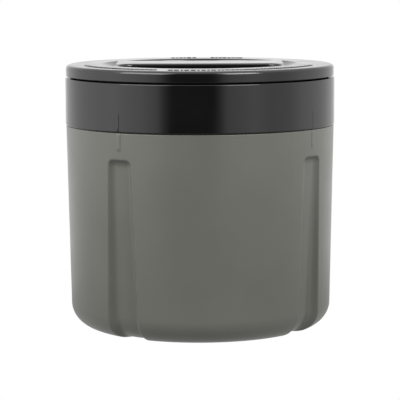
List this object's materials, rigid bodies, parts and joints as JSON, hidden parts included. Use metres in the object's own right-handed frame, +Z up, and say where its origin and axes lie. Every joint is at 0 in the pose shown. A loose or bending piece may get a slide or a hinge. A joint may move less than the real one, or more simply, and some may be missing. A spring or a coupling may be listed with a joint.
{
  "type": "bear canister",
  "caption": "Round wide-mouth food canister with a fluted tapered tub, a threaded collar and a screw-on lid whose grip bar sits between two recessed finger pockets.",
  "frame": {"origin": "middle of the base, on the surface that the canister stands on", "axes": "+Z up along the tub's axis; X along the lid's grip bar when the lid is closed; -Y is the front"},
  "size_m": [0.222, 0.222, 0.2185],
  "materials": {
    "tub_plastic": "satin olive-grey plastic with a very fine moulded grain",
    "collar_plastic": "smooth satin black plastic",
    "lid_plastic": "smooth satin black plastic",
    "inner_plastic": "plain black moulded plastic",
    "lock_plastic": "plain black moulded plastic",
    "seal_rubber": "soft black rubber",
    "screw_steel": "plain stainless steel"
  },
  "bodies": {
    "canister": {"body_shell": "tub_plastic", "collar_ring": "collar_plastic", "collar_screw_1": "screw_steel", "collar_screw_2": "screw_steel", "collar_screw_3": "screw_steel", "collar_screw_4": "screw_steel", "collar_screw_5": "screw_steel", "collar_screw_6": "screw_steel", "collar_screw_7": "screw_steel", "collar_screw_8": "screw_steel"},
    "seal": {"lid_seal": "seal_rubber"},
    "lid": {"lid_cover": "lid_plastic", "lid_base": "inner_plastic", "lid_screw_1": "screw_steel", "lid_screw_2": "screw_steel", "lid_screw_3": "screw_steel", "lid_screw_4": "screw_steel", "lid_screw_5": "screw_steel", "lid_screw_6": "screw_steel", "lid_screw_7": "screw_steel", "lid_screw_8": "screw_steel", "lock_keeper_front": "inner_plastic", "lock_keeper_back": "inner_plastic", "keeper_screw_1": "screw_steel", "keeper_screw_2": "screw_steel", "keeper_screw_3": "screw_steel", "keeper_screw_4": "screw_steel"},
    "front_lock": {"lock_bolt_front": "lock_plastic"},
    "back_lock": {"lock_bolt_back": "lock_plastic"}
  },
  "joints": [
    {"name": "lid_rise", "type": "slide", "parent": "canister", "child": "seal", "axis": [0, 0, 1], "range_m": [0, 0.04]},
    {"name": "lid_turn", "type": "hinge", "parent": "seal", "child": "lid", "pos_m": [0, 0, 0.2072], "axis": [0, 0, 1], "range_deg": [0, 360]},
    {"name": "front_lock_slide", "type": "slide", "parent": "lid", "child": "front_lock", "axis": [0, -1, 0], "range_m": [0, 0.006]},
    {"name": "back_lock_slide", "type": "slide", "parent": "lid", "child": "back_lock", "axis": [0, 1, 0], "range_m": [0, 0.006]}
  ],
  "couplings": [
    {"joint": "lid_rise", "follows": "lid_turn", "m_per_rad": 0.006366}
  ]
}
